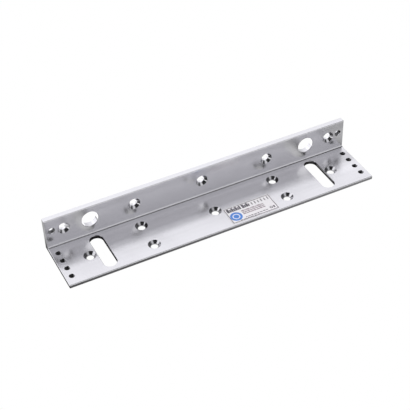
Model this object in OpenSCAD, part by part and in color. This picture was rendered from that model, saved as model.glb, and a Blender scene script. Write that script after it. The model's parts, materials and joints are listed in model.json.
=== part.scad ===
// Mounting angle for a surface magnetic door lock: one drilled and tapped aluminium
// extrusion, and the rating label stuck on its seat.
//
// Frame: X runs along the door head, Y from the front edge to the back, Z up.
// The origin is under the middle of the angle, on the plane that its seat leg rests on.

/* [Angle] */
// Length along the door head
length = 250; // [236:2:300]
// Depth from the front edge to the back face
depth = 48; // [46:1:60]
// Height from the underside to the top of the back leg
height = 28; // [26:1:40]
// Thickness of the seat leg, which lies flat
seat_t = 3; // [2.6:0.2:5]
// Thickness of the back leg, which stands up
back_t = 4.7; // [3.5:0.1:6]
// Radius in the corner between the legs
corner_r = 1.5; // [0.5:0.25:2.5]
// Radius along the outer edges of the section
edge_r = 0.5; // [0.2:0.1:1]
// Chamfer around both sawn ends
end_break = 0.25; // [0.05:0.05:0.3]

/* [Screw holes] */
// Diameter of each screw hole
screw_d = 5.5; // [4:0.5:6]
// Diameter of each countersink at the face
head_d = 9.5; // [8:0.5:10]
// Distance of the inner pair of back leg holes from the middle
back_inner_x = 55.5; // [50:0.5:65]
// Distance of the outer pair of back leg holes from the middle
back_outer_x = 111; // [106:0.5:112]
// Height of the back leg holes above the seat
back_hole_z = 13.6; // [10:0.2:16]
// Distance of the seat leg's four holes from the middle
seat_hole_x = 55.3; // [50:0.1:70]
// Distance between the front and back rows of the seat leg's four holes
seat_row_gap = 22.7; // [16:0.1:24]
// Distance of the single hole beside each slot from the middle
slot_hole_x = 100.8; // [100.6:0.1:104]

/* [Slots and access holes] */
// Distance of each slot and access hole from the middle
slot_x = 90.5; // [84:0.1:90.7]
// Width of each slot
slot_w = 10.2; // [8:0.2:10.4]
// Length of each slot over its round ends
slot_len = 35.5; // [24:0.5:36]
// Distance from the face of the back leg to the middle of the slots
seat_mid_y = 21.5; // [20:0.5:22]
// Diameter of each access hole through the back leg
access_d = 13; // [10:0.5:14]

/* [Tapped holes] */
// Outer diameter of the thread in the seat leg's end rows
small_thread_d = 4; // [3:0.5:5]
// Outer diameter of the thread at each end of the back leg
large_thread_d = 5; // [4:0.5:6]
// Distance between the tapped holes of a row
tap_pitch = 8.75; // [7:0.25:9]
// Distance from each end of the angle to its tapped holes
tap_inset = 5; // [4:0.5:6]
// Height of the back leg's tapped holes above the seat
tap_z = 14.6; // [10:0.2:16]

/* [Label] */
// Length of the rating label
label_w = 39; // [30:0.5:44]
// Depth of the rating label
label_d = 18; // [14:0.5:19]
// Thickness of the rating label
label_t = 0.15; // [0.1:0.05:0.3]
// Radius of the label's corners
label_r = 0.6; // [0.2:0.1:2]

/* [Hidden] */

$fn = 64;
// Cuts run this far past the faces that they open
over = 1;
// Chamfer that takes the burr off every hole and slot
burr = 0.2;
// Tapped holes in the row at each end of the seat leg
tap_count = 4;
// Front face of the back leg
back_face_y = depth / 2 - back_t;
// Middle of the seat leg's slots and holes
mid_y = back_face_y - seat_mid_y;
// Middle of the rows of tapped holes
tap_mid_y = (back_face_y - depth / 2) / 2;
tap_x = length / 2 - tap_inset;
// Middle of the label: right of the middle hole, near the front edge
label_x = 24.5;
label_y = -13.1;

// Flat rectangle from a corner point, with round corners
module rounded_rect(size, r) {
    translate([r, 0]) square([size[0] - 2 * r, size[1]]);
    translate([0, r]) square([size[0], size[1] - 2 * r]);
    for (x = [r, size[0] - r], y = [r, size[1] - r]) translate([x, y]) circle(r);
}

// Section of the extrusion, drawn with Y across and Z up
module section() {
    translate([-depth / 2, 0]) rounded_rect([depth, seat_t], edge_r);
    translate([back_face_y, 0]) rounded_rect([back_t, height], edge_r);
    // Fillet between the legs
    translate([back_face_y - corner_r, seat_t]) difference() {
        square([corner_r + edge_r, corner_r]);
        translate([0, corner_r]) circle(corner_r);
    }
}

// Chamfers both sawn ends along one face of the section. The face starts at y and z and is len wide.
// A turn of 0, 90, 180 or 270 is for a face that looks back, up, forward or down.
module end_breaks_along(y, z, turn, len) {
    end = length / 2;
    translate([0, y, z]) rotate([turn, 0, 0]) for (side = [-1, 1]) linear_extrude(height = len) polygon([
        [side * (end - end_break), over],
        [side * (end - end_break), 0],
        [side * end, -end_break],
        [side * (end + over), -end_break],
        [side * (end + over), over]
    ]);
}

// Everything that the file takes off the two sawn ends
module end_breaks() {
    end_breaks_along(-depth / 2, 0, 270, depth);
    end_breaks_along(depth / 2, 0, 0, height);
    end_breaks_along(depth / 2, height, 90, back_t);
    end_breaks_along(back_face_y, height, 180, height - seat_t - corner_r);
    end_breaks_along(back_face_y - corner_r, seat_t, 90, depth - back_t - corner_r);
    end_breaks_along(-depth / 2, seat_t, 180, seat_t);
    // Along the fillet
    reach = end_break + over;
    for (side = [-1, 1]) {
        translate([side * (length / 2 - end_break), back_face_y - corner_r, seat_t + corner_r])
            rotate([0, side * 90, 0]) cylinder(h = reach, r1 = corner_r, r2 = corner_r + reach);
    }
}

// Straight hole from z = 0 down through a leg, with a small chamfer at both mouths
module drilled(d, leg_t) {
    translate([0, 0, -leg_t - over]) cylinder(h = leg_t + 2 * over, d = d);
    translate([0, 0, -burr]) cylinder(h = burr + over, d1 = d, d2 = d + 2 * (burr + over));
    translate([0, 0, -leg_t - over]) cylinder(h = burr + over, d1 = d + 2 * (burr + over), d2 = d);
}

// Screw hole from z = 0 down, with a 90 degree countersink that is head_d wide at the face
module countersunk(leg_t) {
    drilled(screw_d, leg_t);
    sink = (head_d - screw_d) / 2;
    translate([0, 0, -sink]) cylinder(h = sink + over, d1 = screw_d, d2 = head_d + 2 * over);
}

// Slot along Y from z = 0 down, with round ends and chamfered mouths
module slotted(w, len, leg_t) {
    reach = len / 2 - w / 2;
    half_w = w / 2;
    top = burr + over;
    for (y = [-reach, reach]) translate([0, y, 0]) drilled(w, leg_t);
    translate([0, reach, 0]) rotate([90, 0, 0]) linear_extrude(height = 2 * reach) polygon([
        [-half_w, -burr],
        [-half_w - top, over],
        [half_w + top, over],
        [half_w, -burr],
        [half_w, burr - leg_t],
        [half_w + top, -leg_t - over],
        [-half_w - top, -leg_t - over],
        [-half_w, burr - leg_t]
    ]);
}

// Puts a hole made from z = 0 down onto the seat, at x and y
module on_seat(x, y) {
    translate([x, y, seat_t]) children();
}

// Puts a hole made from z = 0 down onto the front face of the back leg, at x and z above the seat
module on_back(x, z) {
    translate([x, back_face_y, seat_t + z]) rotate([90, 0, 0]) children();
}

module seat_leg_cuts() {
    on_seat(0, mid_y) countersunk(seat_t);
    for (side = [-1, 1]) {
        on_seat(side * slot_x, mid_y) slotted(slot_w, slot_len, seat_t);
        on_seat(side * slot_hole_x, mid_y) countersunk(seat_t);
        for (row = [-1, 1]) on_seat(side * seat_hole_x, mid_y + row * seat_row_gap / 2) countersunk(seat_t);
        for (i = [0:tap_count - 1]) {
            y = tap_mid_y + (i - (tap_count - 1) / 2) * tap_pitch;
            on_seat(side * tap_x, y) drilled(small_thread_d, seat_t);
        }
    }
}

module back_leg_cuts() {
    on_back(0, back_hole_z) countersunk(back_t);
    for (side = [-1, 1]) {
        on_back(side * back_inner_x, back_hole_z) countersunk(back_t);
        on_back(side * back_outer_x, back_hole_z) countersunk(back_t);
        on_back(side * slot_x, back_hole_z) drilled(access_d, back_t);
        on_back(side * tap_x, tap_z) drilled(large_thread_d, back_t);
    }
}

// The angle: one extrusion with every hole, slot and thread
module bracket() {
    color("silver") difference() {
        rotate([90, 0, 90]) linear_extrude(height = length, center = true) section();
        end_breaks();
        seat_leg_cuts();
        back_leg_cuts();
    }
}

// The rating label, stuck flat on the seat
module label() {
    color("white") translate([label_x - label_w / 2, label_y - label_d / 2, seat_t])
        linear_extrude(height = label_t) rounded_rect([label_w, label_d], label_r);
}

bracket();
label();
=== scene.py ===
"""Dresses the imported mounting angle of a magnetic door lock: metal, threads, label, print and studio."""

import json
import math

import bmesh
import bpy
from bpy.props import FloatProperty, FloatVectorProperty, IntProperty, PointerProperty
from mathutils import Matrix, Vector


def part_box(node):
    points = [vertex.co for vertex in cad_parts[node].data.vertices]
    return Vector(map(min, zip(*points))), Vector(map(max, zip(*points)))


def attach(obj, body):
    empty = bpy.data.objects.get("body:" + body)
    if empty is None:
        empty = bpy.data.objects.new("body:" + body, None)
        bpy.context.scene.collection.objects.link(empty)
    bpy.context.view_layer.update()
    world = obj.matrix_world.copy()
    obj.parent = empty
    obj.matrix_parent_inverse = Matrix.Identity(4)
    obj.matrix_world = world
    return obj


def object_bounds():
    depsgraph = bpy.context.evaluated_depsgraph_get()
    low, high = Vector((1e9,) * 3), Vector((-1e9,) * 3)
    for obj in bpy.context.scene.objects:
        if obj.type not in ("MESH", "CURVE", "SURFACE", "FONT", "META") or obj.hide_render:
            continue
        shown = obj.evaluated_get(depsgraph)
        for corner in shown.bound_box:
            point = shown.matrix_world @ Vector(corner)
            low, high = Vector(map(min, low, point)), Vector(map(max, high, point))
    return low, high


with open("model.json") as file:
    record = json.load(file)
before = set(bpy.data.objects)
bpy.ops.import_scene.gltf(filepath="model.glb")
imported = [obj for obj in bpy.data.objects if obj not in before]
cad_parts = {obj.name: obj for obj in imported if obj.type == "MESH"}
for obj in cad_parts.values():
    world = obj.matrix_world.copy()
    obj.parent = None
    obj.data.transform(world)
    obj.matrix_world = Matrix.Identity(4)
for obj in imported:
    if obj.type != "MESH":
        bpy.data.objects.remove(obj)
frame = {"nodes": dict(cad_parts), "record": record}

bl_info = {
    "name": "Magnetic Lock Mounting Angle",
    "version": (1, 0, 0),
    "blender": (4, 5, 0),
    "location": "3D View > Sidebar > Lock Angle",
    "description": "Finishes a drilled aluminium mounting angle, its threads and its rating label",
    "category": "Object",
}

BODY = "root"
BRACKET = frame["nodes"]["bracket"]
LABEL = frame["nodes"]["label"]
MM = 0.001
OBJECT_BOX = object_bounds()
LABEL_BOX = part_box("label")
MOUNTS = {mount["name"]: mount for mount in frame["record"]["mounts"]}

# Planes of the angle, in metres
SEAT_TOP = LABEL_BOX[0].z
BACK_FACE = MOUNTS["inner_back_face"]["pos_m"][1]
HALF_LENGTH = OBJECT_BOX[1][0]
FRONT_EDGE = OBJECT_BOX[0][1]
BACK_EDGE = OBJECT_BOX[1][1]
TOP_EDGE = OBJECT_BOX[1][2]

# Each edge below is a start and an end: the mask changes smoothly between them.

# Bands of painted light and shade on the metal, in millimetres: where each one comes in and where it goes
# out.
# The seat's bands are measured from the corner, and the back leg's from the underside.
SEAT_PAINTED_SHADE_BAND = ((5.0, 10.0), (16.0, 21.0))
SEAT_PAINTED_LIGHT_BAND = ((21.0, 25.0), (27.0, 31.0))
BACK_PAINTED_LIGHT_BAND = ((6.0, 14.0), (17.0, 25.0))

# How much rubbed rims and hairlines change the metal's tone, and rims its roughness
RUBBED_PALE = 0.08
RUBBED_GLOSS = 0.05
HAIRLINE_DARK = 0.05
# Share of the metal's colour on the threads, kept low as painted shade in the holes, and their roughness
THREAD_SHADE_SHARE = (0.2, 0.32)
THREAD_ROUGHNESS = (0.2, 0.32)

# Where the metal's material looks for cut walls and sawn ends, in millimetres. The sawn edge is measured
# from each end, and the margins keep clear of the outer edges and of the corner.
SAWN_EDGE = (0.3, 0.1)
SEAT_ALLOWANCE = 0.01
SEAT_FRONT_MARGIN = 1.0
SEAT_BACK_MARGIN = 1.6
BACK_FOOT_MARGIN = 2.0
BACK_TOP_MARGIN = 1.0
# A cut wall is where less than this share of the normal points straight out of the leg
WALL_LEAN = 0.95

# Thread ridge: its root and crest as shares of the pitch, how deep it is sunk in the wall of the hole,
# and how far from both faces it stops
HALF_ROOT = 0.46
HALF_CREST = 0.07
SUNK = 0.04 * MM
THREAD_LIP = 0.25 * MM

# Print on the label, in millimetres. Places are measured from the front left corner of the border, and each
# drop from its back edge down to the foot of a row. Words are the widths of the blocks along a row.
INK_SUNK = 0.005 * MM
INK_RAISED = 0.012 * MM
LINE_ROUND = 0.1 * MM
BLOCK_ROUND = 0.15 * MM
NUMBER_ROUND = 0.2 * MM
MARK_ROUND = 0.3 * MM
# Every other block is this share of the height of its row
SHORT_HEADING = 0.7
SHORT_BLOCK = 0.75
HEADING_WORDS = ((1.9, 1.3, 1.5, 1.2, 1.6, 1.1, 1.3), (1.8, 1.2, 1.5, 1.0))
HEADING_LEFT = 1.4
HEADING_DROP = 5.0
HEADING_TALL = 4.1
HEADING_GAP = 0.25
WORD_GAP = 0.9
NUMBERS_LEFT = 22.0
NUMBERS_DROP = 4.7
NUMBERS_TALL = (2.8, 3.3)
NUMBER_COUNT = 6
NUMBER_WIDTH = 0.7
NUMBER_STEP = 2.7
TEXT_LEFT = 11.4
SMALL_WORDS = (
    (2.1, 1.3, 2.6, 1.5, 2.2, 1.7, 2.4, 2.6),
    (1.5, 2.4, 1.7, 2.6, 1.2, 2.3, 2.6, 2.1),
    (2.4, 1.6, 1.3, 2.5, 1.8, 2.7, 1.9, 2.2),
)
SMALL_DROP = 7.9
SMALL_STEP = 1.75
SMALL_TALL = 1.15
SMALL_GAP = 0.3
# The two front rows: left end, foot, height of the blocks, gap between them, and their widths
FRONT_ROWS = (
    (TEXT_LEFT, 1.9, 0.8, 0.5, (1.1, 2.3, 1.6, 2.8, 1.3, 2.4, 1.9, 1.7)),
    (6.4, 0.75, 0.5, 0.9, (1.6, 2.4, 1.2, 2.8, 1.5, 2.2)),
)
MARK_RING = (33.2, 3.1)
MARK_RADII = (0.65, 1.25)
# Left, front, width and depth
MARK_BAR = (35.0, 1.9, 1.3, 2.3)
SEAL_MIDDLE = (5.3, 6.1)
# Inner and outer radius of the ring, and of the disc, whose hole is too small to see
SEAL_RADII = ((2.9, 4.7), (0.0005, 2.2))

# Studio as the metal shows it. Bearings are in degrees: 0 is to the back, 90 to the right, 180 in front.
# Heights are the upward part of a direction: 0 is level and 1 is straight up.
WALL_LEFT = (-100.0, -90.0)
WALL_RIGHT = (48.0, 60.0)
WALL_BRIGHTENS = (0.35, 0.75)
WALL_TOP = (0.78, 0.92)
WALL_TOP_SHARE = 0.4
LOW_WALL_LEFT = (-70.0, -60.0)
LOW_WALL_TOP = (0.68, 0.76)
WINDOW_EDGE = (-25.0, 0.0)
CARD_BEARING = 157.0
CARD_HALF_WIDTH = (19.0, 27.0)
CARD_TOP = (0.8, 0.88)
SIDE_BEARING = 97.0
SIDE_HALF_WIDTH = (30.0, 38.0)
SIDE_FOOT = (0.52, 0.66)
SIDE_LOW_SHARE = 0.16
SIDE_TOP = (0.72, 0.8)
LID_EDGE = (0.955, 0.992)
SENSOR_WIDTH = 36.0
SKY_TINT = (0.985, 0.985, 1.015, 1.0)
WHITE = (1.0, 1.0, 1.0, 1.0)

# The floor lies this far below the angle, so that their faces don't flicker
FLOOR_DROP = 0.05 * MM
# Shadow in front: its edge as shares of the contact reach, and its brightness at the left and right ends as
# shares of the setting. Behind and beside the angle it fades over the other edge.
FRONT_SHADOW_EDGE = (0.3, 1.7)
FRONT_SHADOW_SHARES = (0.6, 1.3)
OTHER_SHADOW_EDGE = (0.0, 4.0 * MM)
# Light on the floor under the seat leg: left and right are measured from the middle of a slot, front and
# back from its ends, and the rim from the middle of a screw hole
SLOT_LIGHT_LEFT = (-7.0 * MM, -6.0 * MM)
SLOT_LIGHT_RIGHT = (3.2 * MM, 3.9 * MM)
SLOT_LIGHT_FRONT = (-2.0 * MM, -1.0 * MM)
SLOT_LIGHT_BACK = (-3.9 * MM, -3.2 * MM)
SCREW_LIGHT_RIM = (2.9 * MM, 3.6 * MM)
# Radius of the painted shadow disc on the floor under each tapped hole
TAPPED_SHADOW_RADIUS = 4.0 * MM
SCREW_HOLES = ("seat_screws", "slot_side_screws", "seat_middle_screw")
TAPPED_HOLES = ("seat_tapped_outer", "seat_tapped_inner")


# ---------------------------------------------------------------- settings


class LockAngleMetal(bpy.types.PropertyGroup):
    """Finish of the extrusion, with the light and shade painted into its colour"""

    colour: FloatVectorProperty(
        name="Metal Colour",
        description="Reflected colour of the clear anodised aluminium",
        default=(0.77, 0.765, 0.79),
        subtype="COLOR",
        min=0.0,
        max=1.0,
    )
    roughness: FloatProperty(
        name="Satin Roughness",
        description="Roughness of the faces as they left the anodising bath",
        default=0.24,
        min=0.05,
        max=0.8,
    )
    cut_roughness: FloatProperty(
        name="Cut Roughness",
        description="Roughness of the drilled and milled walls",
        default=0.18,
        min=0.05,
        max=0.8,
    )
    line_depth: FloatProperty(
        name="Die Line Depth",
        description="Height of the drawn lines that the die leaves along the extrusion",
        default=0.006 * MM,
        min=0.0,
        unit="LENGTH",
        precision=6,
    )
    # Painted shade: darkens the seat in a band beside the corner
    seat_painted_shade: FloatProperty(
        name="Dark Band of the Seat",
        description="How much darker the seat is in a band beside the corner",
        default=0.18,
        min=0.0,
        max=0.5,
    )
    # Painted light: lightens the seat in a band in front of its painted shade
    seat_painted_light: FloatProperty(
        name="Pale Band of the Seat",
        description="How much paler the seat is in front of its dark band",
        default=0.07,
        min=0.0,
        max=0.5,
    )
    # Painted light: lightens the back leg at mid height
    back_painted_light: FloatProperty(
        name="Pale Band of the Back Leg",
        description="How much paler the back leg is at mid height",
        default=0.24,
        min=0.0,
        max=0.5,
    )
    # Painted shade: darkens the drilled and milled walls inside the holes and slots
    wall_painted_shade: FloatProperty(
        name="Darker Walls",
        description="How much darker the drilled and milled walls are",
        default=0.2,
        min=0.0,
        max=0.5,
    )
    wear_width: FloatProperty(
        name="Wear Width",
        description="Width of the rubbed rims, in millimetres",
        default=0.7,
        min=0.0,
        max=3.0,
    )


class LockAngleThreads(bpy.types.PropertyGroup):
    """Threads cut in the tapped holes"""

    small_pitch: FloatProperty(
        name="Seat Thread Pitch",
        description="Pitch of the M4 threads in the seat leg",
        default=0.7 * MM,
        min=0.3 * MM,
        unit="LENGTH",
        precision=5,
    )
    large_pitch: FloatProperty(
        name="Back Thread Pitch",
        description="Pitch of the M5 threads in the back leg",
        default=0.8 * MM,
        min=0.3 * MM,
        unit="LENGTH",
        precision=5,
    )
    depth_ratio: FloatProperty(
        name="Depth to Pitch",
        description="Depth of the thread as a share of its pitch",
        default=0.54,
        min=0.3,
        max=0.65,
    )
    steps: IntProperty(
        name="Steps per Turn",
        description="Straight steps in one turn of a thread",
        default=40,
        min=16,
        max=96,
    )


class LockAngleLabel(bpy.types.PropertyGroup):
    """Rating label and its print"""

    film: FloatVectorProperty(
        name="Film Colour",
        description="Colour of the white label film",
        default=(0.9, 0.875, 0.9),
        subtype="COLOR",
        min=0.0,
        max=1.0,
    )
    dark_ink: FloatVectorProperty(
        name="Dark Ink",
        description="Colour of the border, heading and marks",
        default=(0.09, 0.083, 0.1),
        subtype="COLOR",
        min=0.0,
        max=1.0,
    )
    grey_ink: FloatVectorProperty(
        name="Grey Ink",
        description="Colour of the small lines",
        default=(0.3, 0.24, 0.27),
        subtype="COLOR",
        min=0.0,
        max=1.0,
    )
    blue_ink: FloatVectorProperty(
        name="Blue Ink",
        description="Colour of the round seal",
        default=(0.08, 0.23, 0.62),
        subtype="COLOR",
        min=0.0,
        max=1.0,
    )
    margin: FloatProperty(
        name="Border Margin",
        description="White film left outside the printed border",
        default=0.45 * MM,
        min=0.0,
        unit="LENGTH",
        precision=5,
    )
    line: FloatProperty(
        name="Border Line",
        description="Width of the printed border line",
        default=0.55 * MM,
        min=0.1 * MM,
        unit="LENGTH",
        precision=5,
    )


class LockAngleStage(bpy.types.PropertyGroup):
    """Floor, light and camera"""

    turn: FloatProperty(
        name="Camera Turn",
        description="How far the camera stands round to the left of the front",
        default=math.radians(25.642),
        subtype="ANGLE",
    )
    tilt: FloatProperty(
        name="Camera Height Angle",
        description="How steeply the camera looks down",
        default=math.radians(40.662),
        subtype="ANGLE",
    )
    roll: FloatProperty(
        name="Camera Roll",
        description="Lean of the camera about its own line of sight",
        default=math.radians(-2.012),
        subtype="ANGLE",
    )
    distance: FloatProperty(
        name="Camera Distance",
        description="From the camera to the point it looks at",
        default=0.79415,
        min=0.1,
        unit="LENGTH",
    )
    lens: FloatProperty(
        name="Lens",
        description="Focal length on a 36 mm sensor, in millimetres",
        default=94.19,
        min=20.0,
        max=300.0,
    )
    aim: FloatVectorProperty(
        name="Aim Offset",
        description="From the middle of the angle to the point the camera looks at",
        default=(-7.3 * MM, -0.11 * MM, -3.76 * MM),
        subtype="TRANSLATION",
        unit="LENGTH",
        precision=5,
    )
    back_light: FloatProperty(
        name="Back Wall",
        description="Brightness of the lit wall behind the angle, near the floor",
        default=0.9,
        min=0.0,
    )
    top_light: FloatProperty(
        name="Top of Back Wall",
        description="Brightness of the lit wall behind the angle, high up",
        default=1.2,
        min=0.0,
    )
    card_light: FloatProperty(
        name="Front Card",
        description="Brightness of the white card that stands in front, to the right of the camera",
        default=0.72,
        min=0.0,
    )
    window_light: FloatProperty(
        name="Left of Back Wall",
        description="How many times brighter the back wall is towards its left end",
        default=1.35,
        min=0.0,
    )
    room_light: FloatProperty(
        name="Room",
        description="Brightness of the rest of the room",
        default=0.03,
        min=0.0,
    )
    side_light: FloatProperty(
        name="Right Card",
        description="Brightness of the high card to the right of the angle",
        default=0.35,
        min=0.0,
    )
    lid_light: FloatProperty(
        name="Overhead",
        description="Brightness of the ceiling straight above",
        default=0.6,
        min=0.0,
    )
    floor_front: FloatProperty(
        name="Floor in Front",
        description="Brightness of the floor in front of the angle, as the metal shows it",
        default=1.5,
        min=0.0,
    )
    floor_back: FloatProperty(
        name="Floor Behind",
        description="Brightness of the floor behind the angle, as the metal shows it",
        default=1.4,
        min=0.0,
    )
    floor_side: FloatProperty(
        name="Floor Beside",
        description="Brightness of the floor past both ends of the angle, as the metal shows it",
        default=0.42,
        min=0.0,
    )
    through_light: FloatProperty(
        name="Light Through Holes",
        description="Brightness that the slots and screw holes let fall on the floor below them",
        default=0.5,
        min=0.0,
    )
    floor_contact: FloatProperty(
        name="Contact Shadow",
        description="Brightness of the floor under the angle, as the metal shows it",
        default=0.02,
        min=0.0,
    )
    edge_shadow: FloatProperty(
        name="Front Edge Shadow",
        description="Brightness of the floor just in front of the angle, as the metal shows it",
        default=0.17,
        min=0.0,
    )
    contact_reach: FloatProperty(
        name="Contact Shadow Reach",
        description="How far the contact shadow reaches in front of the angle",
        default=5.5 * MM,
        min=0.5 * MM,
        unit="LENGTH",
        precision=4,
    )
    floor_size: FloatProperty(
        name="Floor Size",
        description="Width of the square floor",
        default=6.0,
        min=1.0,
        unit="LENGTH",
    )
    key_power: FloatProperty(
        name="Key Light",
        description="Power of the soft overhead light on the label, in watts",
        default=10.3,
        min=0.0,
    )
    key_size: FloatVectorProperty(
        name="Key Light Size",
        description="Width and depth of the soft overhead light",
        default=(0.9, 0.6),
        size=2,
        unit="LENGTH",
    )
    key_place: FloatVectorProperty(
        name="Key Light Place",
        description="Where the soft overhead light hangs",
        default=(0.25, -0.45, 1.3),
        subtype="TRANSLATION",
        unit="LENGTH",
    )


# ---------------------------------------------------------------- node helpers


def radians(edge):
    """The start and end of an edge, from degrees."""
    return [math.radians(degrees) for degrees in edge]


def wire(tree, kind, inputs=None, **settings):
    """Adds a shader node, sets its settings, and fills or links its inputs by name or number."""
    node = tree.nodes.new(kind)
    for name, value in settings.items():
        setattr(node, name, value)
    for name, value in (inputs or {}).items():
        if isinstance(value, bpy.types.NodeSocket):
            tree.links.new(value, node.inputs[name])
        else:
            node.inputs[name].default_value = value
    return node


def maths(tree, operation, first, second=0.0, clamp=False):
    """One Math node; gives its result."""
    inputs = {0: first, 1: second}
    return wire(tree, "ShaderNodeMath", inputs, operation=operation, use_clamp=clamp).outputs[0]


def product(tree, first, *others):
    """All the values multiplied."""
    for other in others:
        first = maths(tree, "MULTIPLY", first, other)
    return first


def plus(tree, base, extra, share):
    """The base and a share of the extra."""
    return maths(tree, "ADD", base, maths(tree, "MULTIPLY", extra, share))


def ramp(tree, value, low, high, to_low=0.0, to_high=1.0):
    """Smoothly maps low..high onto to_low..to_high."""
    inputs = {"Value": value, "From Min": low, "From Max": high, "To Min": to_low, "To Max": to_high}
    return wire(tree, "ShaderNodeMapRange", inputs, interpolation_type="SMOOTHSTEP").outputs["Result"]


def falling(tree, value, low, high):
    """Smoothly falls from 1 at low to 0 at high."""
    return ramp(tree, value, low, high, 1.0, 0.0)


def band(tree, value, rise, fall):
    """1 between two edges and 0 outside them."""
    return product(tree, ramp(tree, value, *rise), falling(tree, value, *fall))


def mixed(tree, factor, first, second):
    """One value blended into another."""
    inputs = {"Factor": factor, "A": first, "B": second}
    return wire(tree, "ShaderNodeMix", inputs, data_type="FLOAT").outputs["Result"]


def shaded(tree, colour, share):
    """A colour darkened by a value that changes over the surface."""
    inputs = {"Factor": 1.0, "A": (*colour, 1.0), "B": share}
    return wire(tree, "ShaderNodeMix", inputs, data_type="RGBA", blend_type="MULTIPLY").outputs["Result"]


def split(tree, vector):
    """The X, Y and Z of a vector."""
    return wire(tree, "ShaderNodeSeparateXYZ", {"Vector": vector}).outputs


def stretched(tree, vector, scale):
    """The vector with each of its parts scaled."""
    node = wire(tree, "ShaderNodeVectorMath", {0: vector, 1: scale}, operation="MULTIPLY")
    return node.outputs["Vector"]


def noise(tree, vector, scale, detail=2.0, roughness=0.5):
    """Value of a noise texture."""
    inputs = {"Vector": vector, "Scale": scale, "Detail": detail, "Roughness": roughness}
    return wire(tree, "ShaderNodeTexNoise", inputs).outputs["Fac"]


def group(name, inputs, outputs, build):
    """A shader node group with named sockets, built once by build(tree, input node, output node)."""
    tree = bpy.data.node_groups.get(name)
    if tree:
        return tree
    tree = bpy.data.node_groups.new(name, "ShaderNodeTree")
    for socket, kind, default in inputs:
        made = tree.interface.new_socket(name=socket, in_out="INPUT", socket_type=kind)
        if default is not None:
            made.default_value = default
    for socket, kind in outputs:
        tree.interface.new_socket(name=socket, in_out="OUTPUT", socket_type=kind)
    given = tree.nodes.new("NodeGroupInput")
    made = tree.nodes.new("NodeGroupOutput")
    build(tree, given.outputs, made.inputs)
    return tree


def placed(tree, node_tree, inputs):
    """A group node in a material, with its inputs filled; gives its outputs."""
    return wire(tree, "ShaderNodeGroup", inputs, node_tree=node_tree).outputs


FLOAT = "NodeSocketFloat"
VECTOR = "NodeSocketVector"


def extruded_face_group():
    """Lines drawn along X by the die, over the fine grain of anodised metal. Vector is in millimetres."""

    def build(tree, given, out):
        drawn = stretched(tree, given["Vector"], (0.006, 1.0, 1.0))
        lines = noise(tree, drawn, given["Lines per mm"], 3.0, 0.7)
        broad = noise(tree, stretched(tree, given["Vector"], (0.004, 0.35, 0.35)), 1.0, 2.0, 0.5)
        grain = noise(tree, given["Vector"], given["Grains per mm"], 3.0, 0.7)
        cloud = noise(tree, given["Vector"], 0.09, 3.0, 0.55)
        tree.links.new(plus(tree, product(tree, lines, 0.6), grain, 0.4), out["Height"])
        tree.links.new(plus(tree, product(tree, broad, 0.5), cloud, 0.5), out["Tone"])

    return group(
        "Extruded Face",
        [("Vector", VECTOR, None), ("Lines per mm", FLOAT, 4.0), ("Grains per mm", FLOAT, 9.0)],
        [("Height", FLOAT), ("Tone", FLOAT)],
        build,
    )


def handling_group():
    """Sparse hairline scratches and soft smudges. Vector is in millimetres."""

    def build(tree, given, out):
        total = None
        # Three sets of hairlines, each turned and shifted
        for angle, offset in ((0.35, 0.0), (-0.6, 40.0), (1.25, 90.0)):
            inputs = {"Vector": given["Vector"], "Location": (offset, offset, 0.0)}
            inputs["Rotation"] = (0.0, 0.0, angle)
            turned = wire(tree, "ShaderNodeMapping", inputs).outputs["Vector"]
            hair = noise(tree, stretched(tree, turned, (0.05, 3.2, 3.2)), 1.0, 0.0)
            thin = maths(tree, "ABSOLUTE", maths(tree, "SUBTRACT", hair, 0.5))
            patch = ramp(tree, noise(tree, turned, 0.07, 1.0), 0.56, 0.66)
            one = product(tree, falling(tree, thin, 0.0, 0.006), patch)
            total = one if total is None else maths(tree, "MAXIMUM", total, one)
        tree.links.new(total, out["Scratches"])
        smudge = ramp(tree, noise(tree, given["Vector"], 0.045, 4.0, 0.6), 0.35, 0.7)
        tree.links.new(smudge, out["Smudges"])

    return group(
        "Handling Marks",
        [("Vector", VECTOR, None)],
        [("Scratches", FLOAT), ("Smudges", FLOAT)],
        build,
    )


def edge_wear_group():
    """Worn rim: 1 along an edge, broken up by noise. Distance is to the edge, in millimetres."""

    def build(tree, given, out):
        ragged = product(tree, noise(tree, given["Vector"], 1.3, 3.0, 0.6), given["Width"])
        near = maths(tree, "SUBTRACT", ragged, given["Distance"])
        tree.links.new(maths(tree, "DIVIDE", near, given["Width"], clamp=True), out["Wear"])

    return group(
        "Edge Wear",
        [("Vector", VECTOR, None), ("Distance", FLOAT, 1.0), ("Width", FLOAT, 0.6)],
        [("Wear", FLOAT)],
        build,
    )


def millimetres(tree):
    """Place on the object in millimetres."""
    place = wire(tree, "ShaderNodeTexCoord").outputs["Object"]
    return stretched(tree, place, (1.0 / MM, 1.0 / MM, 1.0 / MM))


def new_material(name):
    """An empty node material and its tree."""
    material = bpy.data.materials.new(name)
    material.use_nodes = True
    material.node_tree.nodes.clear()
    return material, material.node_tree


def finish_with(tree, inputs):
    """Ends a material with a Principled shader."""
    shader = wire(tree, "ShaderNodeBsdfPrincipled", inputs)
    wire(tree, "ShaderNodeOutputMaterial", {"Surface": shader.outputs[0]})


# ---------------------------------------------------------------- materials


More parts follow.
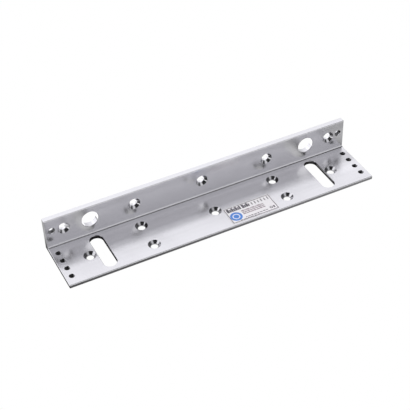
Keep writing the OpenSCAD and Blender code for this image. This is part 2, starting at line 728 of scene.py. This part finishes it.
def cut_walls(tree, parts, across, reach):
    """Masks of the walls cut through either leg, and of everything above the seat."""
    in_seat = maths(tree, "LESS_THAN", parts["Z"], SEAT_TOP / MM + SEAT_ALLOWANCE)
    clear_front = maths(tree, "GREATER_THAN", parts["Y"], FRONT_EDGE / MM + SEAT_FRONT_MARGIN)
    clear_back = maths(tree, "LESS_THAN", parts["Y"], BACK_FACE / MM - SEAT_BACK_MARGIN)
    seat_leans = maths(tree, "LESS_THAN", across[2], WALL_LEAN)
    seat_wall = product(tree, in_seat, clear_front, clear_back, seat_leans)
    above_seat = maths(tree, "GREATER_THAN", parts["Z"], SEAT_TOP / MM + BACK_FOOT_MARGIN)
    below_top = maths(tree, "LESS_THAN", parts["Z"], TOP_EDGE / MM - BACK_TOP_MARGIN)
    back_wall = product(tree, above_seat, below_top, maths(tree, "LESS_THAN", across[1], WALL_LEAN))
    inner = maths(tree, "LESS_THAN", reach, HALF_LENGTH / MM - SAWN_EDGE[0])
    return product(tree, maths(tree, "ADD", seat_wall, back_wall, clamp=True), inner), above_seat


def anodised_material(metal):
    """Clear anodised extrusion: die lines on the faces, tool marks on cut walls, saw marks on the ends,
    with light and shade painted into its colour.
    """
    material, tree = new_material("Anodised Aluminium")
    place = millimetres(tree)
    parts = split(tree, place)
    facing = split(tree, wire(tree, "ShaderNodeNewGeometry").outputs["True Normal"])
    across = [maths(tree, "ABSOLUTE", facing[axis]) for axis in range(3)]
    reach = maths(tree, "ABSOLUTE", parts["X"])
    wall, above_seat = cut_walls(tree, parts, across, reach)
    at_end = ramp(tree, reach, *(HALF_LENGTH / MM - inset for inset in SAWN_EDGE))
    end = product(tree, at_end, ramp(tree, across[0], 0.5, 0.7))

    face = placed(tree, extruded_face_group(), {"Vector": place, "Lines per mm": 4.0, "Grains per mm": 9.0})
    marks = placed(tree, handling_group(), {"Vector": place})

    # Rings left by the drill and cutter, and the arcs of the saw
    ring_z = wire(tree, "ShaderNodeCombineXYZ", {"Z": parts["Z"]}).outputs[0]
    ring_y = wire(tree, "ShaderNodeCombineXYZ", {"Y": parts["Y"]}).outputs[0]
    inputs = {"Factor": above_seat, "A": ring_z, "B": ring_y}
    rings = wire(tree, "ShaderNodeMix", inputs, data_type="VECTOR")
    ring_height = noise(tree, rings.outputs["Result"], 5.0, 2.0, 0.6)
    sawn = noise(tree, stretched(tree, place, (1.0, 0.3, 3.0)), 1.6, 3.0, 0.6)
    height = mixed(tree, end, mixed(tree, wall, face["Height"], ring_height), sawn)

    # Rims where the anodising is rubbed bright
    from_end = maths(tree, "SUBTRACT", HALF_LENGTH / MM, reach)
    from_front = maths(tree, "SUBTRACT", parts["Y"], FRONT_EDGE / MM)
    from_top = maths(tree, "SUBTRACT", TOP_EDGE / MM, parts["Z"])
    nearest = maths(tree, "MINIMUM", maths(tree, "MINIMUM", from_end, from_front), from_top)
    inputs = {"Vector": place, "Distance": nearest, "Width": metal.wear_width}
    wear = placed(tree, edge_wear_group(), inputs)["Wear"]

    # Tone: faint clouds, painted shade beside the corner, painted light on the seat and the back leg,
    # rubbed rims, hairlines, and painted shade on the cut walls
    from_corner = maths(tree, "SUBTRACT", BACK_FACE / MM, parts["Y"])
    tone = ramp(tree, face["Tone"], 0.3, 0.7, 0.965, 1.0)
    tone = plus(tree, tone, band(tree, from_corner, *SEAT_PAINTED_SHADE_BAND), -metal.seat_painted_shade)
    tone = plus(tree, tone, band(tree, parts["Z"], *BACK_PAINTED_LIGHT_BAND), metal.back_painted_light)
    tone = plus(tree, tone, band(tree, from_corner, *SEAT_PAINTED_LIGHT_BAND), metal.seat_painted_light)
    tone = plus(tree, tone, wear, RUBBED_PALE)
    tone = plus(tree, tone, marks["Scratches"], -HAIRLINE_DARK)
    tone = plus(tree, tone, wall, -metal.wall_painted_shade)

    satin = maths(tree, "ADD", metal.roughness, ramp(tree, marks["Smudges"], 0.0, 1.0, -0.015, 0.03))
    satin = plus(tree, satin, wear, -RUBBED_GLOSS)

    inputs = {"Height": height, "Strength": 1.0, "Distance": metal.line_depth}
    lines = wire(tree, "ShaderNodeBump", inputs)
    inputs = {"Height": marks["Scratches"], "Strength": 0.6, "Distance": metal.line_depth}
    inputs["Normal"] = lines.outputs[0]
    scratch = wire(tree, "ShaderNodeBump", inputs, invert=True)
    finish_with(
        tree,
        {
            "Base Color": shaded(tree, metal.colour, tone),
            "Metallic": 1.0,
            "Roughness": mixed(tree, wall, satin, metal.cut_roughness),
            "Normal": scratch.outputs[0],
        },
    )
    return material


def thread_material(metal):
    """Cut metal of the thread crests, darkened with painted shade."""
    material, tree = new_material("Cut Thread")
    fine = noise(tree, millimetres(tree), 8.0, 3.0, 0.6)
    bump = wire(tree, "ShaderNodeBump", {"Height": fine, "Strength": 0.5, "Distance": metal.line_depth})
    finish_with(
        tree,
        {
            "Base Color": shaded(tree, metal.colour, ramp(tree, fine, 0.3, 0.7, *THREAD_SHADE_SHARE)),
            "Metallic": 1.0,
            "Roughness": ramp(tree, fine, 0.2, 0.8, *THREAD_ROUGHNESS),
            "Normal": bump.outputs[0],
        },
    )
    return material


def printed_material(name, colour, paler, roughness):
    """Film or ink: an even coat with slight mottling and a soft bump."""
    material, tree = new_material(name)
    place = millimetres(tree)
    mottle = noise(tree, place, 0.5, 3.0, 0.6)
    fibre = noise(tree, place, 7.0, 2.0, 0.6)
    light = tuple(min(1.0, part * paler) for part in colour)
    inputs = {"Factor": ramp(tree, mottle, 0.3, 0.7), "A": (*colour, 1.0), "B": (*light, 1.0)}
    tint = wire(tree, "ShaderNodeMix", inputs, data_type="RGBA")
    bump = wire(tree, "ShaderNodeBump", {"Height": fibre, "Strength": 0.25, "Distance": 0.003 * MM})
    finish_with(
        tree,
        {
            "Base Color": tint.outputs["Result"],
            "Roughness": ramp(tree, fibre, 0.2, 0.8, roughness - 0.05, roughness + 0.08),
            "Normal": bump.outputs[0],
        },
    )
    return material


# ---------------------------------------------------------------- mesh helpers


def new_piece(name, build, material):
    """A mesh made by build(bmesh), riding on the bracket's body."""
    mesh = bpy.data.meshes.new(name)
    work = bmesh.new()
    build(work)
    bmesh.ops.recalc_face_normals(work, faces=work.faces)
    work.to_mesh(mesh)
    work.free()
    piece = bpy.data.objects.new(name, mesh)
    bpy.context.scene.collection.objects.link(piece)
    mesh.materials.append(material)
    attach(piece, BODY)
    return piece


def dress(node, material):
    """Gives a CAD node its material."""
    node.data.materials.clear()
    node.data.materials.append(material)


def add_thread(work, foot, along, radius, length, pitch, depth, steps):
    """A ridge wound round the wall of a hole, from foot along the unit vector along."""
    turn = along.to_track_quat("Z", "Y").to_matrix()
    count = int(round(steps * (length - pitch) / pitch))
    half_root = HALF_ROOT * pitch
    half_crest = HALF_CREST * pitch
    crest = radius - depth
    buried = radius + SUNK
    rings = []
    for i in range(count + 1):
        angle = 2.0 * math.pi * i / steps
        middle = half_root + pitch * i / steps
        spoke = Vector((math.cos(angle), math.sin(angle), 0.0))
        ring = []
        section = ((buried, -half_root), (crest, -half_crest), (crest, half_crest), (buried, half_root))
        for reach, lift in section:
            point = spoke * reach + Vector((0.0, 0.0, middle + lift))
            ring.append(work.verts.new(foot + turn @ point))
        rings.append(ring)
    for low, high in zip(rings, rings[1:]):
        for j in range(4):
            k = (j + 1) % 4
            work.faces.new((low[j], low[k], high[k], high[j]))
    work.faces.new(rings[0])
    work.faces.new(rings[-1])


def add_slab(work, outline, low, high):
    """A flat slab with the given outline, between two heights."""
    lower = [work.verts.new((x, y, low)) for x, y in outline]
    upper = [work.verts.new((x, y, high)) for x, y in outline]
    work.faces.new(lower)
    work.faces.new(upper)
    for i in range(len(outline)):
        j = (i + 1) % len(outline)
        work.faces.new((lower[i], lower[j], upper[j], upper[i]))


def round_bar(x, y, width, height, radius, steps=5):
    """Outline of a bar with round corners, from its lower left corner."""
    # Just under half a side, so that no two points of the outline fall together
    radius = min(radius, width / 2, height / 2) * 0.999
    points = []
    far_x = width - radius
    far_y = height - radius
    corners = ((far_x, radius, -90), (far_x, far_y, 0), (radius, far_y, 90), (radius, radius, 180))
    for cx, cy, start in corners:
        for i in range(steps + 1):
            angle = math.radians(start + 90.0 * i / steps)
            points.append((x + cx + radius * math.cos(angle), y + cy + radius * math.sin(angle)))
    return points


def add_ring(work, centre, inner, outer, low, high, steps=64):
    """A flat ring between two radii and two heights."""
    rims = []
    for radius, z in ((inner, low), (outer, low), (outer, high), (inner, high)):
        rim = []
        for i in range(steps):
            angle = 2.0 * math.pi * i / steps
            x = centre[0] + radius * math.cos(angle)
            y = centre[1] + radius * math.sin(angle)
            rim.append(work.verts.new((x, y, z)))
        rims.append(rim)
    for a in range(4):
        b = (a + 1) % 4
        for i in range(steps):
            j = (i + 1) % steps
            work.faces.new((rims[a][i], rims[a][j], rims[b][j], rims[b][i]))


def pattern_points(name):
    """Centres of the holes of a row or rectangle of holes that the record states."""
    mount = MOUNTS[name]
    dims = mount["dims"]
    axis = [abs(part) for part in mount["axis"]].index(1)
    spans = [i for i in range(3) if i != axis]
    gaps = (dims.get("spacing_x_mm", 0.0) * MM, dims.get("spacing_y_mm", 0.0) * MM)
    points = set()
    for a in (-0.5, 0.5):
        for b in (-0.5, 0.5):
            point = list(mount["pos_m"])
            point[spans[0]] += a * gaps[0]
            point[spans[1]] += b * gaps[1]
            points.add(tuple(point))
    return [Vector(point) for point in sorted(points)]


# ---------------------------------------------------------------- operators


class LOCKANGLE_OT_finish_bracket(bpy.types.Operator):
    """Give the extrusion its anodised finish, with light and shade painted into its colour"""

    bl_idname = "lock_angle.finish_bracket"
    bl_label = "Finish Bracket"

    def execute(self, context):
        dress(BRACKET, anodised_material(context.scene.lock_angle_metal))
        return {"FINISHED"}


class LOCKANGLE_OT_cut_threads(bpy.types.Operator):
    """Wind a thread into every tapped hole"""

    bl_idname = "lock_angle.cut_threads"
    bl_label = "Cut Threads"

    def execute(self, context):
        threads = context.scene.lock_angle_threads
        material = thread_material(context.scene.lock_angle_metal)
        up = Vector((0, 0, 1))
        forward = Vector((0, -1, 0))
        seat_radius = MOUNTS["seat_tapped_outer"]["dims"]["hole_r_mm"] * MM
        back_radius = MOUNTS["back_tapped"]["dims"]["hole_r_mm"] * MM

        def seat_threads(work):
            pitch = threads.small_pitch
            depth = threads.depth_ratio * pitch
            length = SEAT_TOP - 2 * THREAD_LIP
            for name in TAPPED_HOLES:
                for point in pattern_points(name):
                    foot = Vector((point.x, point.y, THREAD_LIP))
                    add_thread(work, foot, up, seat_radius, length, pitch, depth, threads.steps)

        def back_threads(work):
            pitch = threads.large_pitch
            depth = threads.depth_ratio * pitch
            length = BACK_EDGE - BACK_FACE - 2 * THREAD_LIP
            for point in pattern_points("back_tapped"):
                foot = Vector((point.x, BACK_EDGE - THREAD_LIP, point.z))
                add_thread(work, foot, forward, back_radius, length, pitch, depth, threads.steps)

        new_piece("seat_threads", seat_threads, material)
        new_piece("back_threads", back_threads, material)
        return {"FINISHED"}


class LOCKANGLE_OT_finish_label(bpy.types.Operator):
    """Give the label its white film"""

    bl_idname = "lock_angle.finish_label"
    bl_label = "Finish Label"

    def execute(self, context):
        film = context.scene.lock_angle_label.film
        dress(LABEL, printed_material("Label Film", film, 1.04, 0.42))
        return {"FINISHED"}


class LOCKANGLE_OT_print_label(bpy.types.Operator):
    """Print the border, the bars that stand for lines of print, and a plain round seal"""

    bl_idname = "lock_angle.print_label"
    bl_label = "Print Label"

    def execute(self, context):
        label = context.scene.lock_angle_label
        low = LABEL_BOX[1].z - INK_SUNK
        high = LABEL_BOX[1].z + INK_RAISED
        left = LABEL_BOX[0].x + label.margin
        right = LABEL_BOX[1].x - label.margin
        front = LABEL_BOX[0].y + label.margin
        back = LABEL_BOX[1].y - label.margin
        width = right - left
        depth = back - front
        line = label.line

        def bar(work, x, y, bar_width, bar_height, radius=LINE_ROUND):
            add_slab(work, round_bar(left + x, front + y, bar_width, bar_height, radius), low, high)

        def border(work):
            bar(work, 0.0, 0.0, width, line)
            bar(work, 0.0, depth - line, width, line)
            bar(work, 0.0, line * 0.5, line, depth - line)
            bar(work, width - line, line * 0.5, line, depth - line)

        def line_of_blocks(work, x, y, widths, tall, gap, short=SHORT_BLOCK):
            """Blocks of ink in a row; every other block is shorter."""
            for i, size in enumerate(widths):
                block = tall if i % 2 == 0 else tall * short
                bar(work, x, y, size * MM, block * MM, BLOCK_ROUND)
                x += (size + gap) * MM
            return x

        def heading(work):
            x = HEADING_LEFT * MM
            y = depth - HEADING_DROP * MM
            for widths in HEADING_WORDS:
                x = line_of_blocks(work, x, y, widths, HEADING_TALL, HEADING_GAP, SHORT_HEADING)
                x += WORD_GAP * MM

        def numbers(work):
            x = NUMBERS_LEFT * MM
            for i in range(NUMBER_COUNT):
                tall = NUMBERS_TALL[i % 2]
                bar(work, x, depth - NUMBERS_DROP * MM, NUMBER_WIDTH * MM, tall * MM, NUMBER_ROUND)
                x += NUMBER_STEP * MM

        def small_lines(work):
            for row, widths in enumerate(SMALL_WORDS):
                y = depth - (SMALL_DROP + SMALL_STEP * row) * MM
                line_of_blocks(work, TEXT_LEFT * MM, y, widths, SMALL_TALL, SMALL_GAP)

        def last_line(work):
            for x, y, tall, gap, widths in FRONT_ROWS:
                line_of_blocks(work, x * MM, y * MM, widths, tall, gap)

        def corner_marks(work):
            """A small ring and a bar."""
            ring = (left + MARK_RING[0] * MM, front + MARK_RING[1] * MM)
            add_ring(work, ring, MARK_RADII[0] * MM, MARK_RADII[1] * MM, low, high, steps=32)
            x, y, bar_width, bar_height = (size * MM for size in MARK_BAR)
            bar(work, x, y, bar_width, bar_height, MARK_ROUND)

        def seal_rings(work):
            """A plain disc inside a broad ring."""
            seal = (left + SEAL_MIDDLE[0] * MM, front + SEAL_MIDDLE[1] * MM)
            for inner, outer in SEAL_RADII:
                add_ring(work, seal, inner * MM, outer * MM, low, high)

        dark = printed_material("Dark Ink", label.dark_ink, 1.5, 0.45)
        grey = printed_material("Grey Ink", label.grey_ink, 1.2, 0.45)
        blue = printed_material("Blue Ink", label.blue_ink, 1.4, 0.4)
        pieces = (
            ("label_border", border, dark),
            ("label_heading", heading, dark),
            ("label_numbers", numbers, dark),
            ("label_small_lines", small_lines, grey),
            ("label_last_line", last_line, dark),
            ("label_corner_marks", corner_marks, dark),
            ("label_seal", seal_rings, blue),
        )
        for name, build, ink in pieces:
            new_piece(name, build, ink)
        return {"FINISHED"}


class LOCKANGLE_OT_build_stage(bpy.types.Operator):
    """Add the pale floor, the soft light and the camera"""

    bl_idname = "lock_angle.build_stage"
    bl_label = "Build Stage"

    def execute(self, context):
        stage = context.scene.lock_angle_stage
        self.add_floor(stage)
        self.light_sky(context.scene, stage)
        self.add_key(stage)
        self.add_camera(context.scene, stage)
        context.scene.view_settings.view_transform = "Standard"
        context.scene.view_settings.look = "None"
        return {"FINISHED"}

    def open_floor(self, tree, stage, parts):
        """Level of the floor round the angle, with the shadows beside its edges."""
        ahead = maths(tree, "SUBTRACT", FRONT_EDGE, parts["Y"])
        behind = maths(tree, "SUBTRACT", parts["Y"], BACK_EDGE)
        beside = maths(tree, "SUBTRACT", maths(tree, "ABSOLUTE", parts["X"]), HALF_LENGTH)
        at_left, at_right = (share * stage.edge_shadow for share in FRONT_SHADOW_SHARES)
        edge = ramp(tree, parts["X"], -HALF_LENGTH, HALF_LENGTH, at_left, at_right)
        near, far = (share * stage.contact_reach for share in FRONT_SHADOW_EDGE)
        front = ramp(tree, ahead, near, far, edge, stage.floor_front)
        back = ramp(tree, behind, *OTHER_SHADOW_EDGE, stage.floor_contact, stage.floor_back)
        side = ramp(tree, beside, *OTHER_SHADOW_EDGE, stage.floor_contact, stage.floor_side)
        rest = mixed(tree, maths(tree, "GREATER_THAN", beside, 0.0), back, side)
        return mixed(tree, maths(tree, "GREATER_THAN", ahead, 0.0), rest, front)

    def near_holes(self, tree, place, names, mask):
        """The largest value of mask(distance) over all the holes with these names."""
        total = 0.0
        for name in names:
            for point in pattern_points(name):
                ends = {0: place, 1: (point.x, point.y, 0.0)}
                away = wire(tree, "ShaderNodeVectorMath", ends, operation="DISTANCE").outputs["Value"]
                total = maths(tree, "MAXIMUM", total, mask(away))
        return total

    def slot_light(self, tree, parts):
        """Where light falls through the two slots."""
        slot = MOUNTS["right_slot"]
        half = slot["dims"]["slot_length_mm"] / 2 * MM
        middle = maths(tree, "MULTIPLY", maths(tree, "SIGN", parts["X"]), slot["pos_m"][0])
        off = maths(tree, "SUBTRACT", parts["X"], middle)
        along = maths(tree, "SUBTRACT", parts["Y"], slot["pos_m"][1])
        front = [inset - half for inset in SLOT_LIGHT_FRONT]
        back = [half + inset for inset in SLOT_LIGHT_BACK]
        across = band(tree, off, SLOT_LIGHT_LEFT, SLOT_LIGHT_RIGHT)
        return product(tree, across, band(tree, along, front, back))

    def add_floor(self, stage):
        """A square floor that glows: plain white to the eye apart from painted shadow discs under the
        tapped holes, and, where the metal reflects it, painted soft shadows and painted pools of light.
        """
        half = stage.floor_size / 2
        mesh = bpy.data.meshes.new("floor")
        corners = [(-half, -half, 0), (half, -half, 0), (half, half, 0), (-half, half, 0)]
        mesh.from_pydata(corners, [], [(0, 1, 2, 3)])
        floor = bpy.data.objects.new("floor", mesh)
        bpy.context.scene.collection.objects.link(floor)
        floor.location.z = -FLOOR_DROP
        material, tree = new_material("Pale Floor")
        place = wire(tree, "ShaderNodeTexCoord").outputs["Object"]
        parts = split(tree, place)

        def screw_light(away):
            return falling(tree, away, *SCREW_LIGHT_RIM)

        def painted_hole_shadow(away):
            return maths(tree, "LESS_THAN", away, TAPPED_SHADOW_RADIUS)

        through = self.near_holes(tree, place, SCREW_HOLES, screw_light)
        lit = maths(tree, "MAXIMUM", self.slot_light(tree, parts), through)
        level = plus(tree, self.open_floor(tree, stage, parts), lit, stage.through_light)

        # The eye sees plain white, except for painted shadow discs under the narrow tapped holes, shown
        # from above, so that they look dark all the way down
        seen = wire(tree, "ShaderNodeLightPath").outputs["Is Camera Ray"]
        from_above = maths(tree, "SUBTRACT", 1.0, wire(tree, "ShaderNodeNewGeometry").outputs["Backfacing"])
        tapped = product(tree, self.near_holes(tree, place, TAPPED_HOLES, painted_hole_shadow), from_above)
        shown = mixed(tree, seen, level, ramp(tree, tapped, 0.0, 1.0, 1.0, stage.floor_contact))
        glow = wire(tree, "ShaderNodeEmission", {"Color": WHITE, "Strength": shown})
        wire(tree, "ShaderNodeOutputMaterial", {"Surface": glow.outputs[0]})
        mesh.materials.append(material)

    def light_sky(self, scene, stage):
        """A lit wall all along the back, a card in front, a card to the right, and a dim room."""
        world = bpy.data.worlds.new("Studio")
        scene.world = world
        world.use_nodes = True
        tree = world.node_tree
        tree.nodes.clear()
        parts = split(tree, wire(tree, "ShaderNodeTexCoord").outputs["Generated"])
        height = parts["Z"]
        bearing = maths(tree, "ARCTAN2", parts["X"], parts["Y"])

        def rises(edge):
            """1 to the right of an edge."""
            return ramp(tree, bearing, *radians(edge))

        def card(middle, half_width):
            """1 across a card that stands at a bearing."""
            off = maths(tree, "ABSOLUTE", maths(tree, "SUBTRACT", bearing, math.radians(middle)))
            return falling(tree, off, *radians(half_width))

        wall = ramp(tree, height, *WALL_BRIGHTENS, stage.back_light, stage.top_light)
        wall = product(tree, wall, ramp(tree, height, *WALL_TOP, 1.0, WALL_TOP_SHARE))
        window = ramp(tree, bearing, *radians(WINDOW_EDGE), stage.window_light, 1.0)
        wall = product(tree, wall, window)
        back = falling(tree, bearing, *radians(WALL_RIGHT))
        low_left = maths(tree, "MAXIMUM", rises(LOW_WALL_LEFT), falling(tree, height, *LOW_WALL_TOP))
        back = product(tree, back, rises(WALL_LEFT), low_left)

        front = product(tree, card(CARD_BEARING, CARD_HALF_WIDTH), falling(tree, height, *CARD_TOP))
        side = product(
            tree,
            card(SIDE_BEARING, SIDE_HALF_WIDTH),
            ramp(tree, height, *SIDE_FOOT, SIDE_LOW_SHARE, 1.0),
            falling(tree, height, *SIDE_TOP),
        )
        room = plus(tree, stage.room_light, ramp(tree, height, *LID_EDGE), stage.lid_light)
        room = plus(tree, room, side, stage.side_light)
        level = mixed(tree, back, mixed(tree, front, room, stage.card_light), wall)

        seen = wire(tree, "ShaderNodeLightPath").outputs["Is Camera Ray"]
        tint = wire(tree, "ShaderNodeMix", {"Factor": seen, "A": SKY_TINT, "B": WHITE}, data_type="RGBA")
        inputs = {"Color": tint.outputs["Result"], "Strength": mixed(tree, seen, level, 1.0)}
        sky = wire(tree, "ShaderNodeBackground", inputs)
        wire(tree, "ShaderNodeOutputWorld", {"Surface": sky.outputs[0]})

    def add_key(self, stage):
        """One large soft light overhead that lights the label and leaves the metal to the walls."""
        data = bpy.data.lights.new("key", "AREA")
        data.shape = "RECTANGLE"
        data.size, data.size_y = stage.key_size
        data.energy = stage.key_power
        key = bpy.data.objects.new("key", data)
        bpy.context.scene.collection.objects.link(key)
        key.location = stage.key_place
        key.rotation_euler = (-key.location).to_track_quat("-Z", "Y").to_euler()
        key.visible_camera = False
        key.visible_glossy = False

    def add_camera(self, scene, stage):
        """The camera, to the left of the front and above, looking down along the angle."""
        low, high = (Vector(corner) for corner in OBJECT_BOX)
        aim = (low + high) / 2 + Vector(stage.aim)
        flat = math.cos(stage.tilt)
        ahead = Vector((math.sin(stage.turn) * flat, math.cos(stage.turn) * flat, -math.sin(stage.tilt)))
        right = Vector((math.cos(stage.turn), -math.sin(stage.turn), 0.0))
        up = right.cross(ahead)
        level = Matrix((right, up, -ahead)).transposed()
        data = bpy.data.cameras.new("camera")
        data.sensor_width = SENSOR_WIDTH
        data.lens = stage.lens
        data.clip_start = 0.01
        camera = bpy.data.objects.new("camera", data)
        scene.collection.objects.link(camera)
        turned = level @ Matrix.Rotation(stage.roll, 3, "Z")
        camera.matrix_world = Matrix.Translation(aim - ahead * stage.distance) @ turned.to_4x4()
        scene.camera = camera


class LOCKANGLE_PT_panel(bpy.types.Panel):
    """Steps and settings of the mounting angle"""

    bl_idname = "LOCKANGLE_PT_panel"
    bl_label = "Lock Angle"
    bl_space_type = "VIEW_3D"
    bl_region_type = "UI"
    bl_category = "Lock Angle"

    def draw(self, context):
        layout = self.layout
        for step in STEPS:
            layout.operator(step.bl_idname)
        for name in SETTINGS:
            settings = getattr(context.scene, name)
            box = layout.box()
            for key in settings.bl_rna.properties.keys():
                if key not in {"rna_type", "name"}:
                    box.prop(settings, key)


SETTINGS = {
    "lock_angle_metal": LockAngleMetal,
    "lock_angle_threads": LockAngleThreads,
    "lock_angle_label": LockAngleLabel,
    "lock_angle_stage": LockAngleStage,
}
STEPS = (
    LOCKANGLE_OT_finish_bracket,
    LOCKANGLE_OT_cut_threads,
    LOCKANGLE_OT_finish_label,
    LOCKANGLE_OT_print_label,
    LOCKANGLE_OT_build_stage,
)
CLASSES = (*SETTINGS.values(), *STEPS, LOCKANGLE_PT_panel)


def register():
    for entry in CLASSES:
        bpy.utils.register_class(entry)
    for name, kind in SETTINGS.items():
        setattr(bpy.types.Scene, name, PointerProperty(type=kind))


def unregister():
    for name in SETTINGS:
        delattr(bpy.types.Scene, name)
    for entry in reversed(CLASSES):
        bpy.utils.unregister_class(entry)


def main():
    """Runs every step."""
    register()
    bpy.ops.lock_angle.finish_bracket()
    bpy.ops.lock_angle.cut_threads()
    bpy.ops.lock_angle.finish_label()
    bpy.ops.lock_angle.print_label()
    bpy.ops.lock_angle.build_stage()


if __name__ == "__main__":
    main()
